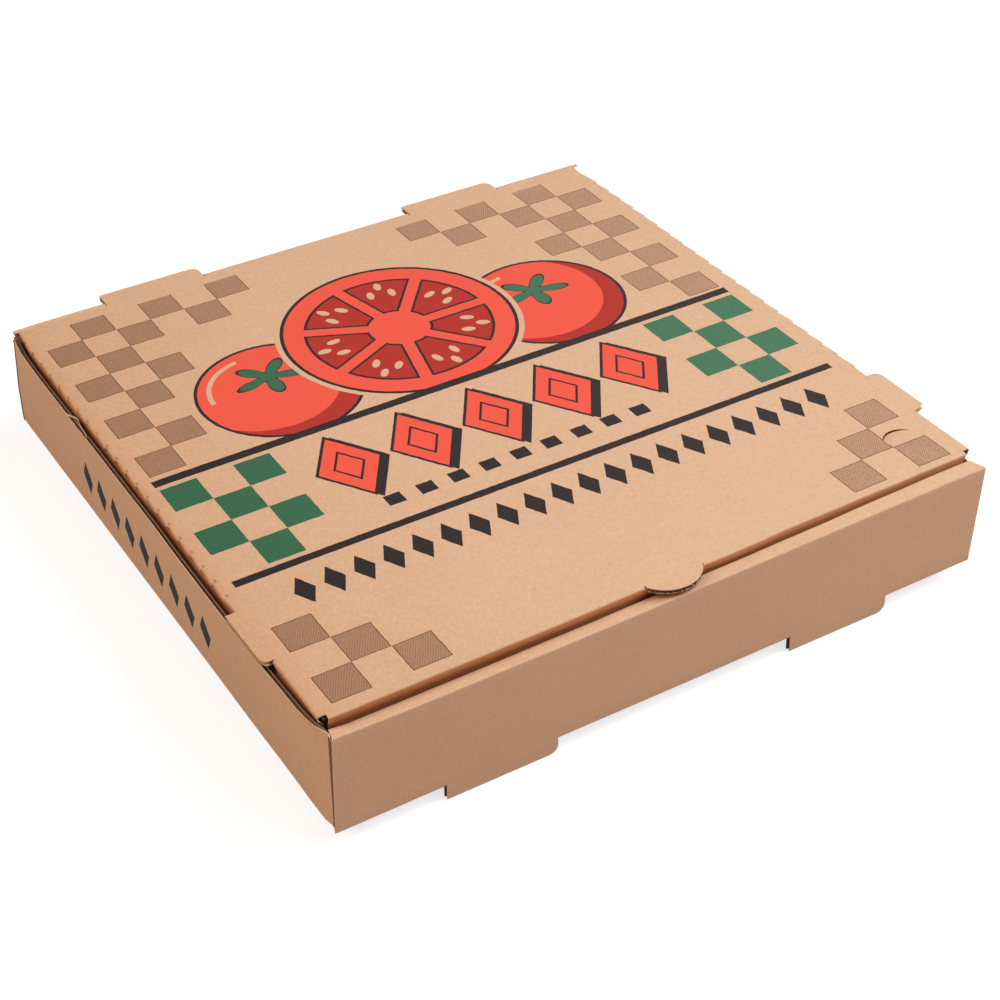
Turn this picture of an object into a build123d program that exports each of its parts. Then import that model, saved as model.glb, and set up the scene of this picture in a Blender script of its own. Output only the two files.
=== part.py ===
from build123d import *
import math
import os

# A pizza box folded from one sheet of corrugated board, closed, with its front at -Y.
# Lengths are in millimetres. The underside of the feet is at Z = 0.

# The board and its folds
board = 2.8                 # thickness of the board
fold_inside = 0.4           # radius inside each fold
layer_gap = 0.2             # air between boards that lie against each other

# The tray
box_width = 357.0           # outside, across the side walls
box_depth = 372.0           # outside, front wall to back wall
front_height = 55.5         # underside of the base to the top of the front wall
side_height = 53.4          # underside of the base to the raw top edge of a side wall
dust_length = 46.0          # corner flaps at the ends of the side walls
lock_gap = 2.8              # room behind the front wall's locking tabs in the base slots

# Tabs that stay straight where the board beside them is folded
tab_width = 58.0            # feet and back tabs
tab_spacing = 189.0         # middle to middle of the two feet, and of the two back tabs
lid_tab_reach = 8.5         # back and side tabs, out from the lid's fold
side_tab_width = 38.0
side_tab_front = 53.0       # front wall to the near end of a side tab
tab_round = 5.0             # the one rounded corner of a tab
cut_gap = 0.6               # room round a tab in the opening it leaves

# The lid
flap_gap = 0.3              # between a lid flap and the wall it slides down inside
lid_lift = 0.5              # under the thumb tab, above the front wall
hinge_gap = 0.3             # under the lid, above the back wall
floor_gap = 7.0             # under the lower edges of the lid flaps
sweep_gap = 1.0             # past the front wall for the tuck flap as the lid opens
flap_taper = 9.0            # how far each end of a lid flap leans in
flap_corner = 8.0           # rounding of the lid flaps' lower corners
corner_relief = 4.0         # radius of the hole where two lid folds meet
thumb_width = 31.0          # thumb tab along the front fold
thumb_reach = 8.8           # thumb tab out over the front wall

# The steam vent, a half-round cut in the lid
vent_radius = 8.5
vent_from_side = 24.0       # middle of the vent to the outside of the right wall
vent_from_front = 37.0      # middle of the vent to the outside of the front wall
vent_turn = 24.0            # degrees that its hinge line is turned
kerf = 0.7                  # width of a cut made by a knife

# Knife nicks along the lid's side folds
nick_pitch = 12.7
nick_length = 6.35
nick_depth = 1.0

# Levels and edges that follow from the sizes
fold_middle = fold_inside + board / 2
fold_outside = fold_inside + board
strip_depth = 3 * board + 2 * layer_gap
foot_reach = strip_depth - board + lock_gap
front_y = -(box_depth + lid_tab_reach) / 2
back_y = front_y + box_depth
base_z = foot_reach
floor_z = base_z + board
front_top = base_z + front_height
side_top = base_z + side_height
lid_bottom = front_top + lid_lift
lid_top = lid_bottom + board
back_top = lid_bottom - hinge_gap
tab_swing = math.hypot(lid_tab_reach, board)
slot_low = lid_top - tab_swing - cut_gap
dust_top = min(slot_low, side_top) - cut_gap
lid_width = box_width - 2 * (board + flap_gap)
crease_y = front_y + strip_depth + flap_gap
flap_low = floor_z + floor_gap
slot_width = tab_width + 2 * cut_gap
tab_places = (-tab_spacing / 2, tab_spacing / 2)


def folded(points, plane, start, end):
    """Board bent round the corners of its middle line, from start to end along the plane's normal"""
    middle = FilletPolyline(*points, radius=fold_middle)
    section = plane.offset(start) * trace(middle, line_width=board)
    return extrude(section, amount=end - start)


def block(x, y, z):
    """Box between two values on each axis"""
    size = [high - low for low, high in (x, y, z)]
    centre = [(low + high) / 2 for low, high in (x, y, z)]
    return Pos(*centre) * Box(*size)


def tab(width, reach, rounded):
    """Outline of a tab that stands on the local X axis, with its corner at +X or -X rounded"""
    outline = Pos(0, reach / 2) * Rectangle(width, reach)
    corner = outline.vertices().sort_by(Axis.Y)[-2:].sort_by(Axis.X)[-1 if rounded > 0 else 0]
    return fillet(corner, tab_round)


def feet():
    """Tabs in the plane of the front wall that drop below the base"""
    reach = base_z + fold_outside
    plane = Plane(origin=(0, front_y, reach), x_dir=(1, 0, 0), z_dir=(0, 1, 0))
    outlines = Sketch() + [Pos(x, 0) * tab(tab_width, reach, 1) for x in tab_places]
    return extrude(plane * outlines, amount=board)


def base_slots():
    """Openings that the feet leave in the base"""
    depth = (front_y + board, front_y + board + foot_reach)
    level = (base_z - board, floor_z + fold_inside)
    ends = [(x - slot_width / 2, x + slot_width / 2) for x in tab_places]
    return Part() + [block(end, depth, level) for end in ends]


def locking_tabs():
    """Tabs of the inner front panel that hold in the base slots"""
    depth = (front_y + strip_depth - board, front_y + strip_depth)
    level = (base_z, floor_z + fold_outside)
    ends = [(x - tab_width / 2 + cut_gap, x + tab_width / 2 - cut_gap) for x in tab_places]
    return Part() + [block(end, depth, level) for end in ends]


def back_slots():
    """Openings that the lid's back tabs leave in the back wall, and swing through"""
    depth = (back_y - 2 * board, back_y + board)
    level = (slot_low, back_top + board)
    ends = [(x - slot_width / 2, x + slot_width / 2) for x in tab_places]
    return Part() + [block(end, depth, level) for end in ends]


def front_and_back():
    """Base with the front wall rolled over into a double wall, and the back wall"""
    inner_y = front_y + strip_depth - board / 2
    points = [
        (inner_y, floor_z + layer_gap),
        (inner_y, front_top - board / 2),
        (front_y + board / 2, front_top - board / 2),
        (front_y + board / 2, base_z + board / 2),
        (back_y - board / 2, base_z + board / 2),
        (back_y - board / 2, back_top),
    ]
    return folded(points, Plane.YZ, -box_width / 2, box_width / 2)


def right_side():
    """Side wall folded up from the base, with a corner flap behind the front and the back wall"""
    wall_x = box_width / 2 - board / 2
    front_flap_y = front_y + board + layer_gap + board / 2
    back_flap_y = back_y - board - layer_gap - board / 2
    wall_points = [
        (wall_x - 2 * fold_outside, base_z + board / 2),
        (wall_x, base_z + board / 2),
        (wall_x, side_top),
    ]
    flap_points = [
        (wall_x - dust_length, front_flap_y),
        (wall_x, front_flap_y),
        (wall_x, back_flap_y),
        (wall_x - dust_length, back_flap_y),
    ]
    wall = folded(wall_points, Plane.XZ, -back_flap_y + fold_middle, -front_flap_y - fold_middle)
    flaps = folded(flap_points, Plane.XY, floor_z + layer_gap, dust_top)
    return wall + flaps


def tray():
    """Base, walls, corner flaps and feet"""
    sheet = front_and_back()
    inside_fold = box_width / 2 - fold_outside
    edge = block(
        (inside_fold, box_width),
        (front_y + fold_outside, back_y - fold_outside),
        (base_z - board, floor_z + fold_inside),
    )
    side = right_side()
    sheet -= [edge, mirror(edge, Plane.YZ), base_slots(), back_slots()]
    sheet += [side, mirror(side, Plane.YZ), feet(), locking_tabs()]
    return sheet


def tuck_flap_sheet():
    """Lid panel with its front flap, which leans in so that it clears the front wall as it swings up"""
    lid_mid = lid_bottom + board / 2
    drop = lid_mid - flap_low
    lean = drop ** 2 / (2 * (back_y - crease_y)) + sweep_gap
    middle_y = crease_y + board / 2
    points = [(back_y, lid_mid), (middle_y, lid_mid), (middle_y + lean, flap_low)]
    sheet = folded(points, Plane.YZ, -lid_width / 2, lid_width / 2)
    half = lid_width / 2 - corner_relief
    outline = make_face(
        Polyline(
            (-lid_width, lid_top + board),
            (lid_width, lid_top + board),
            (lid_width, lid_bottom),
            (half, lid_bottom),
            (half - flap_taper, flap_low - board),
            (-half + flap_taper, flap_low - board),
            (-half, lid_bottom),
            (-lid_width, lid_bottom),
            close=True,
        )
    )
    lower = outline.vertices().sort_by(Axis.Y)[:2]
    mask = extrude(Plane.XZ * fillet(lower, flap_corner), amount=box_depth, both=True)
    return sheet & mask


def right_flap():
    """Side flap of the lid, folded down inside the right wall, with tapered ends"""
    flap_x = lid_width / 2 - board / 2
    lid_mid = lid_bottom + board / 2
    points = [
        (flap_x - 2 * fold_outside, lid_mid),
        (flap_x, lid_mid),
        (flap_x, flap_low),
    ]
    sheet = folded(points, Plane.XZ, -side_flap_back, -side_flap_front)
    outline = make_face(
        Polyline(
            (side_flap_front, lid_top + board),
            (side_flap_back, lid_top + board),
            (side_flap_back, lid_bottom),
            (side_flap_back - flap_taper, flap_low),
            (side_flap_front + flap_taper, flap_low),
            (side_flap_front, lid_bottom),
            close=True,
        )
    )
    lower = outline.vertices().sort_by(Axis.Y)[:2]
    return sheet & extrude(Plane.YZ * fillet(lower, flap_corner), amount=box_width)


def side_tab(side):
    """Tab of the lid that lies over a side wall, on the side at +1 or -1"""
    middle = front_y + side_tab_front + side_tab_width / 2
    reach = fold_outside + lid_tab_reach
    start = (side * (lid_width / 2 - fold_outside), middle, lid_bottom)
    plane = Plane(origin=start, x_dir=(0, -side, 0), z_dir=(0, 0, 1))
    return extrude(plane * tab(side_tab_width, reach, -1), amount=board)


def side_tab_opening():
    """Opening that the right side tab leaves in the flap under it"""
    near = front_y + side_tab_front - cut_gap
    return block(
        (lid_width / 2 - 2 * fold_outside, lid_width / 2 + board),
        (near, near + side_tab_width + 2 * cut_gap),
        (lid_top - lid_tab_reach - cut_gap, lid_bottom),
    )


def back_tabs():
    """Tabs in the plane of the lid that stand out past its back fold"""
    plane = Plane(origin=(0, back_y, lid_bottom))
    outlines = Sketch() + [Pos(x, 0) * tab(tab_width, lid_tab_reach, 1) for x in tab_places]
    return extrude(plane * outlines, amount=board)


def thumb_outline(margin):
    """Part of a disc below the local X axis, as wide and as deep as the thumb tab with a margin"""
    chord = thumb_width + 2 * margin
    reach = thumb_reach + margin
    edge = ThreePointArc((-chord / 2, 0), (0, -reach), (chord / 2, 0))
    return make_face(edge + Line((chord / 2, 0), (-chord / 2, 0)))


def thumb_tab():
    """Half-round tab of the lid over the front wall"""
    root = Pos(0, fold_outside / 2) * Rectangle(thumb_width, fold_outside)
    return extrude(Pos(0, crease_y, lid_bottom) * (thumb_outline(0) + root), amount=board)


def thumb_opening():
    """Opening that the thumb tab leaves in the tuck flap"""
    plane = Plane(origin=(0, crease_y + strip_depth, lid_bottom), x_dir=(1, 0, 0), z_dir=(0, -1, 0))
    return extrude(plane * thumb_outline(cut_gap), amount=2 * strip_depth)


def steam_vent():
    """Half-round knife cut through the lid"""
    middle = Pos(box_width / 2 - vent_from_side, front_y + vent_from_front, lid_bottom)
    arc = CenterArc((0, 0), vent_radius, vent_turn, 180)
    return extrude(middle * SlotArc(arc, kerf), amount=board)


def side_nicks():
    """Row of short knife nicks in the top of the right side fold, clear of the side tab"""
    row = side_flap_back - side_flap_front - nick_pitch
    count = int(row / nick_pitch) + 1
    middle = (side_flap_front + side_flap_back) / 2
    tab_middle = front_y + side_tab_front + side_tab_width / 2
    clear = (side_tab_width + nick_length) / 2 + kerf
    places = [middle + (i - (count - 1) / 2) * nick_pitch for i in range(count)]
    fold_x = lid_width / 2 - fold_outside
    return Part() + [
        block((fold_x, fold_x + kerf), (y - nick_length / 2, y + nick_length / 2), (lid_top - nick_depth, lid_top))
        for y in places
        if abs(y - tab_middle) > clear
    ]


def corner_holes():
    """Relief holes where the front fold of the lid meets its side folds"""
    places = [Pos(x, crease_y, lid_bottom) for x in (-lid_width / 2, lid_width / 2)]
    return Part() + [place * Cylinder(corner_relief, 4 * board) for place in places]


def lid():
    """Panel, flaps, tabs, steam vent and nicked side folds"""
    sheet = tuck_flap_sheet()
    edge = block(
        (lid_width / 2 - fold_outside, lid_width),
        (side_flap_front, side_flap_back),
        (lid_bottom - board, lid_top + board),
    )
    flap = right_flap() - [side_tab_opening(), side_nicks()]
    sheet -= [edge, mirror(edge, Plane.YZ)]
    sheet += [flap, mirror(flap, Plane.YZ)]
    sheet -= [corner_holes(), thumb_opening(), steam_vent()]
    sheet += [side_tab(1), side_tab(-1), back_tabs(), thumb_tab()]
    return sheet


# Ends of the lid's side flaps, clear of the tuck flap and of the back corner flaps
side_flap_front = crease_y + corner_relief
side_flap_back = back_y - 2 * board - 2 * layer_gap - flap_gap

os.makedirs("parts", exist_ok=True)
for name, shape in (("tray", tray()), ("lid", lid())):
    export_step(shape, f"parts/{name}.step")
    print(name, "volume", round(shape.volume), "mm3, solids", len(shape.solids()))
print("hinge at y", back_y, "z", lid_top)
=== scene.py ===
# %% [markdown]
# # A pizza box of corrugated board
# The box is one sheet of kraft board, folded into a tray with a hinged lid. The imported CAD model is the
# fixed frame: its two solids, tray and lid, give the sizes and the hinge. Here each of them is rebuilt as
# what the board really is, two paper liners with a fluted sheet between them, and is then printed and worn.

# %% Load the frame
import math

import bmesh
import bpy
from mathutils import Matrix, Vector


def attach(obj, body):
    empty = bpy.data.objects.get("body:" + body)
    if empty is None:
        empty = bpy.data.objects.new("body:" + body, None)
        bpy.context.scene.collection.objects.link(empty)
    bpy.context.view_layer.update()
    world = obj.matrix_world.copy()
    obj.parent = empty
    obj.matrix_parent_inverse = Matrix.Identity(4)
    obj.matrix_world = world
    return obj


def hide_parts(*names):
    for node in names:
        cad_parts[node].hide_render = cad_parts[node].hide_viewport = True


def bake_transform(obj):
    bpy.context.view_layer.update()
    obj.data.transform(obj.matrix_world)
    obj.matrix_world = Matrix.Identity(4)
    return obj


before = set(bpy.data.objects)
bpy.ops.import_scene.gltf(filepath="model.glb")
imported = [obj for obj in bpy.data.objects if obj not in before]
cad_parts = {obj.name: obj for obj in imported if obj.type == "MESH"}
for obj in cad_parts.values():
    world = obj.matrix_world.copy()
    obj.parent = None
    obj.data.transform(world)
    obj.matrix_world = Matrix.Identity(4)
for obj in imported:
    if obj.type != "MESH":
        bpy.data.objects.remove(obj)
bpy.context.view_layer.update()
scene = bpy.context.scene

# %% [markdown]
# ## Camera
# The view is from the front left and above.

# %% Camera
camera_data = bpy.data.cameras.new("camera")
camera_data.sensor_width = 36
camera_data.lens = 75.33
camera = bpy.data.objects.new("camera", camera_data)
heading, tilt, roll = (math.radians(a) for a in (30.319, 36.372, -1.244))
turn = Matrix.Rotation(-heading, 3, "Z") @ Matrix.Rotation(math.pi / 2 - tilt, 3, "X")
camera.rotation_euler = (turn @ Matrix.Rotation(roll, 3, "Z")).to_euler()
camera.location = (-0.43803, -0.77977, 0.65575)
scene.collection.objects.link(camera)
scene.camera = camera
print("camera at", tuple(round(c, 3) for c in camera.location))

# %% [markdown]
# ## Board
# All the lengths below are in millimetres, as on a box maker's drawing, and each finished piece is scaled
# to metres. They repeat the sizes of the CAD part, with the board split into its three papers: two liners
# and the medium, the wavy sheet whose waves are the flutes.

# %% Sizes of the board and the box
MM = 0.001
board = 2.8
liner = 0.4
medium = 0.25
flute_pitch = 6.5
wave_steps = 6
layer_gap = 0.2
box_width, box_depth = 357.0, 372.0
front_y, back_y = -190.25, 181.75
base_z, floor_z = 8.8, 11.6
front_top, side_top, back_top = 64.3, 62.2, 64.5
lid_bottom, lid_top = 64.8, 67.6
strip_depth = 8.8
base_mid, lid_mid = base_z + board / 2, lid_bottom + board / 2
print("flutes across the box", round(box_width / flute_pitch))

# %% Tabs, flaps and openings
tab_width, tab_spacing, tab_round = 58.0, 189.0, 5.0
foot_reach, lid_tab_reach = 8.8, 8.5
side_tab_width, side_tab_front = 38.0, 53.0
dust_length, dust_top = 46.0, 57.45
cut_gap, flap_gap = 0.6, 0.3
lid_width = box_width - 2 * (board + flap_gap)
crease_y = front_y + strip_depth + flap_gap
flap_low, flap_lean = 18.6, 4.12
flap_taper, flap_corner, corner_relief = 9.0, 8.0, 4.0
thumb_width, thumb_reach = 31.0, 8.8
slot_low = 58.05
tab_middles = (-tab_spacing / 2, tab_spacing / 2)
tab_ends = [(middle - tab_width / 2, middle + tab_width / 2) for middle in tab_middles]
print("lid", lid_width, "mm wide, front fold at", crease_y)

# %% [markdown]
# ## Folding a sheet
# A folded sheet could be cut from boxes, but board bends in a round fold. So a row of edges is grown
# like the sheet itself: extruded along a panel, spun round the fold, and extruded again. The same path makes
# the outer liner, the inner liner and the wavy sheet between them; only the row's offset and radius differ.
# An extrusion lists the new faces in a chance order, so a grown sheet is put in order of place at its end.

# %% Tools that grow a sheet
X, Y, Z = Vector((1, 0, 0)), Vector((0, 1, 0)), Vector((0, 0, 1))
fold_steps = 5
flute_radius = 0.8


def only(kind, geometry):
    """The vertices, edges or faces of a mixed list"""
    return [g for g in geometry if isinstance(g, kind)]


def grow(bm, row, step):
    """Extrudes a row of edges and gives the row at the far end"""
    made = bmesh.ops.extrude_edge_only(bm, edges=row)["geom"]
    verts = only(bmesh.types.BMVert, made)
    bmesh.ops.translate(bm, verts=verts, vec=step)
    far = set(verts)
    return [e for e in only(bmesh.types.BMEdge, made) if far.issuperset(e.verts)]


def put_in_order(bm):
    """Builds a sheet anew with points and faces in order of place, so that each run gives the same mesh"""
    points = sorted(bm.verts, key=lambda v: tuple(v.co))
    number = {v: i for i, v in enumerate(points)}
    rings = []
    for f in bm.faces:
        ring = [number[v] for v in f.verts]
        first = ring.index(min(ring))
        rings.append(ring[first:] + ring[:first])
    places = [v.co.copy() for v in points]
    bm.clear()
    verts = [bm.verts.new(place) for place in places]
    for ring in sorted(rings):
        bm.faces.new([verts[i] for i in ring])


def grow_last(bm, row, step):
    """Extrudes the last panel of a row"""
    grow(bm, row, step)
    put_in_order(bm)


def fold(bm, row, centre, axis, angle):
    """Spins a row of edges round a fold and gives the row behind it"""
    verts = list(dict.fromkeys(v for e in row for v in e.verts))
    made = bmesh.ops.spin(bm, geom=verts + row, cent=centre, axis=axis, angle=angle, steps=fold_steps)
    return only(bmesh.types.BMEdge, made["geom_last"])


def fold_along(bm, row, path, across, offset, radius, start=0.0):
    """Grows a row along the corners of the board's middle line, offset to one of its papers"""
    path = [Vector(p) for p in path]
    ahead = (path[1] - path[0]).normalized()
    place = path[0] + ahead * start + ahead.cross(across) * offset
    for i in range(1, len(path)):
        ahead = (path[i] - path[i - 1]).normalized()
        normal = ahead.cross(across)
        if i == len(path) - 1:
            return grow_last(bm, row, ahead * (path[i] - place).dot(ahead))
        beyond = (path[i + 1] - path[i]).normalized()
        angle = ahead.angle(beyond)
        corner = path[i] + (normal + beyond.cross(across)) * offset / (1 + ahead.dot(beyond))
        reach = radius * math.tan(angle / 2)
        step = (corner - place).dot(ahead) - reach
        if step > 1e-4:
            row = grow(bm, row, ahead * step)
        row = fold(bm, row, place + ahead * step - normal * radius, across, angle)
        place = corner + beyond * reach


print("folds are spun in", fold_steps, "steps")

# %% [markdown]
# A knife shapes the sheet next. Bisecting with planes scores lines, faces between lines are taken out, and
# a round corner is a few planes that each slice off a little. Only the faces near a cut are bisected.

# %% Tools that cut a sheet


def lay_row(start, end, normal, offset, wave=False):
    """A new sheet that starts as one row from start to end; a wave makes it the fluted paper"""
    bm = bmesh.new()
    ends = [bm.verts.new(Vector(p) + Vector(normal) * offset) for p in (start, end)]
    row = [bm.edges.new(ends)]
    if wave:
        first = ends[0].co.copy()
        cuts = round(row[0].calc_length() / flute_pitch * wave_steps) - 1
        bmesh.ops.subdivide_edges(bm, edges=row, cuts=cuts)
        height = board / 2 - liner - medium / 2
        for v in bm.verts:
            v.co += Vector(normal) * height * math.sin(2 * math.pi * (v.co - first).length / flute_pitch)
        row = list(bm.edges)
    return bm, row


def near(bm, test):
    """The faces whose middle passes a test"""
    return [f for f in bm.faces if test(f.calc_center_median())]


def slice_faces(bm, faces, point, normal, clear=False):
    """Bisects some faces with a plane, and with clear takes off what lies outside it"""
    geom = list(dict.fromkeys(g for f in faces for g in (f, *f.edges, *f.verts)))
    bmesh.ops.bisect_plane(bm, geom=geom, dist=1e-3, plane_co=point, plane_no=normal, clear_outer=clear)


def score(bm, axis, places, test=None):
    """Lines across a sheet, at right angles to an axis"""
    for place in places:
        faces = near(bm, test) if test else list(bm.faces)
        slice_faces(bm, faces, axis * place, axis)


def take_out(bm, test):
    """Removes the faces whose middle passes a test"""
    bmesh.ops.delete(bm, geom=near(bm, test), context="FACES")


def edge_row(bm, test):
    """The open edges whose middle passes a test"""
    return [e for e in bm.edges if e.is_boundary and test((e.verts[0].co + e.verts[1].co) / 2)]


def round_off(bm, test, centre, radius, first, second, cuts=5):
    """Rounds the corner of a tab that points between two directions"""
    for i in range(cuts):
        out = first.slerp(second, (i + 0.5) / cuts)
        slice_faces(bm, near(bm, test), centre + out * radius, out, clear=True)


def lean_end(bm, test, top, outward):
    """Slices off the leaning end of a lid flap, down from a top point, and rounds its lower corner"""
    drop = lid_bottom - flap_low
    out = (outward * drop - Z * flap_taper).normalized()
    down = (-outward * flap_taper - Z * drop).normalized()
    slice_faces(bm, near(bm, test), top, out, clear=True)
    along = (flap_low + flap_corner - top.z + out.z * flap_corner) / down.z
    round_off(bm, test, top + down * along - out * flap_corner, flap_corner, out, -Z)


def between(value, ends, margin=0.0):
    """True if a value lies between two ends"""
    return ends[0] - margin < value < ends[1] + margin


def in_tabs(x, margin=0.0):
    """True between the ends of one of the two feet or back tabs"""
    return any(between(x, ends, margin) for ends in tab_ends)


tab_lines = [x for low, high in tab_ends for x in (low, low - cut_gap, high, high + cut_gap)]
print("knife lines at the tabs", sorted(round(x, 1) for x in tab_lines))

# %% [markdown]
# ## Tray
# The tray starts at the lower edge of the inner front panel: up, over the front wall, down, along the
# base and up the back wall. One long row of edges makes all of this, so the panels join without a seam. Each
# foot stays straight where the front wall folds, and leaves a slot in the base.

# %% Front wall, base and back wall
inner_y = front_y + strip_depth - board / 2
front_mid, back_mid = front_y + board / 2, back_y - board / 2
wall_mid = box_width / 2 - board / 2
hinge_low = 61.5
strip_low = front_top - board - layer_gap
strip_bevel = 4.5
flute_margin, raw_margin = 3.1, 2.6


def tray_strip(offset, radius, wave=False, back_end=back_top):
    """One paper of the rolled front wall, the base and the back wall; flutes stop short of the raw ends"""
    width = wall_mid - flute_margin if wave else box_width / 2
    path = [
        (0, inner_y, floor_z + layer_gap),
        (0, inner_y, front_top - board / 2),
        (0, front_mid, front_top - board / 2),
        (0, front_mid, base_mid),
        (0, back_mid, base_mid),
        (0, back_mid, back_end),
    ]
    start = Vector(path[0])
    bm, row = lay_row(start - X * width, start + X * width, Y, offset, wave)
    fold_along(bm, row, path, X, offset, radius)
    score(bm, X, tab_lines)
    return bm


def cut_feet(bm, offset, radius):
    """Feet, base slots and the locking tabs of the inner front panel"""
    slot_end = front_y + board + foot_reach
    fold_z = base_mid - offset + radius
    score(bm, Y, [slot_end], lambda c: c.z < floor_z + 1 and abs(c.y) < 170)
    take_out(bm, lambda c: in_tabs(c.x, cut_gap) and c.y < slot_end and c.z < fold_z)
    feet = edge_row(bm, lambda c: in_tabs(c.x) and abs(c.z - fold_z) < 0.01 and c.y < front_y + board + 1)
    grow_last(bm, feet, -Z * fold_z)
    for ends in tab_ends:
        corner = Vector((ends[1] - tab_round, 0, tab_round))
        round_off(bm, lambda c: c.z < fold_z and between(c.x, ends), corner, tab_round, X, -Z)
    low = floor_z + layer_gap
    locks = edge_row(bm, lambda c: in_tabs(c.x) and abs(c.z - low) < 0.01 and abs(c.y - inner_y) < 2)
    grow_last(bm, locks, -Z * (low - base_z))


def cut_back_slots(bm):
    """Openings in the back wall that the lid's tabs swing through"""
    score(bm, Z, [slot_low], lambda c: c.y > back_y - 4)
    take_out(bm, lambda c: in_tabs(c.x, cut_gap) and c.y > back_y - 4 and c.z > slot_low)


def tray_spine(offset, radius, wave=False, back_end=back_top):
    """Front wall, base and back wall of one paper, cut free for the side walls"""
    bm = tray_strip(offset, radius, wave, back_end)
    cut_feet(bm, offset, radius)
    cut_back_slots(bm)
    if wave:
        return bm
    inner_end = box_width / 2 - strip_bevel
    on_inner = lambda c: abs(c.y - inner_y) < board and between(c.z, (floor_z, strip_low))
    score(bm, Z, [strip_low], lambda c: abs(c.y - inner_y) < board)
    score(bm, X, (-inner_end, inner_end), on_inner)
    take_out(bm, lambda c: on_inner(c) and abs(c.x) > inner_end)
    on_strip = lambda c: c.z > strip_low and c.y < front_y + strip_depth + 1
    for side in (-1, 1):
        out = Vector((side * strip_depth, strip_bevel, 0)).normalized()
        slice_faces(bm, near(bm, on_strip), Vector((side * box_width / 2, front_y, 0)), out, clear=True)
    if offset < 0:
        raw_end = box_width / 2 - raw_margin
        on_front = lambda c: c.y < front_y + board and between(c.z, (floor_z + 1, strip_low))
        score(bm, X, (-raw_end, raw_end), on_front)
        take_out(bm, lambda c: on_front(c) and abs(c.x) > raw_end)
    side_cut = wall_mid + offset - radius
    score(bm, X, (-side_cut, side_cut))
    flat = (front_mid - offset + radius, back_mid + offset - radius)
    take_out(bm, lambda c: abs(c.x) > side_cut and between(c.y, flat) and c.z < floor_z + 0.1)
    return bm


print("front wall", front_top - base_z, "mm high, rolled to", strip_depth, "mm")

# %% [markdown]
# The side walls fold up from the base, and their corner flaps lie along the front and back walls. The flaps
# are rows of their own that start inside the board of the wall, which hides where they join. At the top of a
# wall the inner liner and the flutes end a little lower than the outer liner, as on any knife-cut edge.

# %% Side walls and corner flaps
flap_ys = (front_y + board + layer_gap + board / 2, back_y - board - layer_gap - board / 2)
flap_floor = floor_z + 2 * layer_gap
flap_root = 0.8
inner_drop, flute_drop = 0.9, 1.0


def fold_side(bm, side, offset, radius):
    """One side wall of a liner, folded up from the base"""
    side_cut = wall_mid + offset - radius
    ends = (flap_ys[0] - offset + radius, flap_ys[1] + offset - radius)
    at_cut = lambda c: abs(c.x - side * side_cut) < 0.01 and c.z < floor_z + 1
    row = edge_row(bm, lambda c: at_cut(c) and between(c.y, ends))
    top = side_top if offset > 0 else side_top - inner_drop
    path = [(0, 0, base_mid), (side * wall_mid, 0, base_mid), (side * wall_mid, 0, top)]
    fold_along(bm, row, path, -Y * side, offset, radius, side_cut)
    at_wall = lambda c: c.x * side > wall_mid - 2 and c.z > base_z + 4 and between(c.y, ends)
    under_strip = front_y + strip_depth + layer_gap
    score(bm, Z, (flap_floor, dust_top, strip_low), at_wall)
    if offset < 0:
        score(bm, Y, [under_strip], at_wall)
        take_out(bm, lambda c: at_wall(c) and c.y < under_strip and c.z > strip_low)


def corner_flaps(offset):
    """The corner flaps of a liner, each a row grown from a side wall along the front or back wall"""
    flaps = []
    for side in (-1, 1):
        for flap_y, ahead in zip(flap_ys, (-1, 1)):
            start = Vector((side * (wall_mid - flap_root), flap_y + ahead * offset, 0))
            bm, row = lay_row(start + Z * flap_floor, start + Z * dust_top, Y, 0)
            grow_last(bm, row, X * -side * (dust_length - flap_root))
            flaps.append(bm)
    return flaps


def side_flutes(side):
    """Fluted paper of one side wall with its corner flaps, whose flutes lie level"""
    low, high, end = floor_z + 2, side_top - flute_drop, wall_mid - dust_length
    front_flap, back_flap = flap_ys
    corners = ((end, front_flap), (wall_mid, front_flap), (wall_mid, back_flap), (end, back_flap))
    path = [(side * x, y, 0) for x, y in corners]
    start = Vector(path[0])
    bm, row = lay_row(start + Z * low, start + Z * high, -Y, 0, wave=True)
    fold_along(bm, row, path, Z * side, 0, flute_radius)
    in_flap = lambda c: abs(c.x) < wall_mid - 1 or not between(c.y, flap_ys, -2)
    score(bm, Z, [dust_top], in_flap)
    take_out(bm, lambda c: in_flap(c) and c.z > dust_top)
    return bm


print("side walls", side_top - base_z, "mm high, corner flaps", dust_length, "mm long")

# %% [markdown]
# The top edge of the left wall has been torn: a strip of the outer liner is missing, and a shred of it curls
# in over the gap. The tear is sliced along a crooked line, given by places from the front and heights, and
# the shred is a short row grown from bend to bend.

# %% Torn edge
tear_line = ((260, 62.2), (264, 61.8), (267, 62.0), (272, 61.6), (277, 61.9), (281, 61.7), (288, 62.2))
shred_path = ((0, 288, 61.5), (0.7, 285.5, 61.8), (1.8, 283, 62.1), (2.7, 280.5, 62.1), (2.6, 278.5, 61.8),
              (2.1, 276, 61.5), (1.8, 272, 61.4), (1.6, 268, 61.4), (1.2, 264.5, 61.7), (0.6, 262.5, 61.9))
shred_height, shred_gauge = 0.9, 0.3


def tear_liner(bm):
    """Slices the crooked tear off the top of the left wall's outer liner"""
    at_edge = lambda c: c.x < 1 - box_width / 2 and c.z > dust_top
    score(bm, Y, [front_y + along for along, _ in tear_line], at_edge)
    for (start, low), (end, high) in zip(tear_line, tear_line[1:]):
        ends = (front_y + start, front_y + end)
        up = Vector((0, low - high, end - start)).normalized()
        faces = near(bm, lambda c: at_edge(c) and between(c.y, ends))
        slice_faces(bm, faces, Vector((0, ends[0], low)), up, clear=True)


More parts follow.
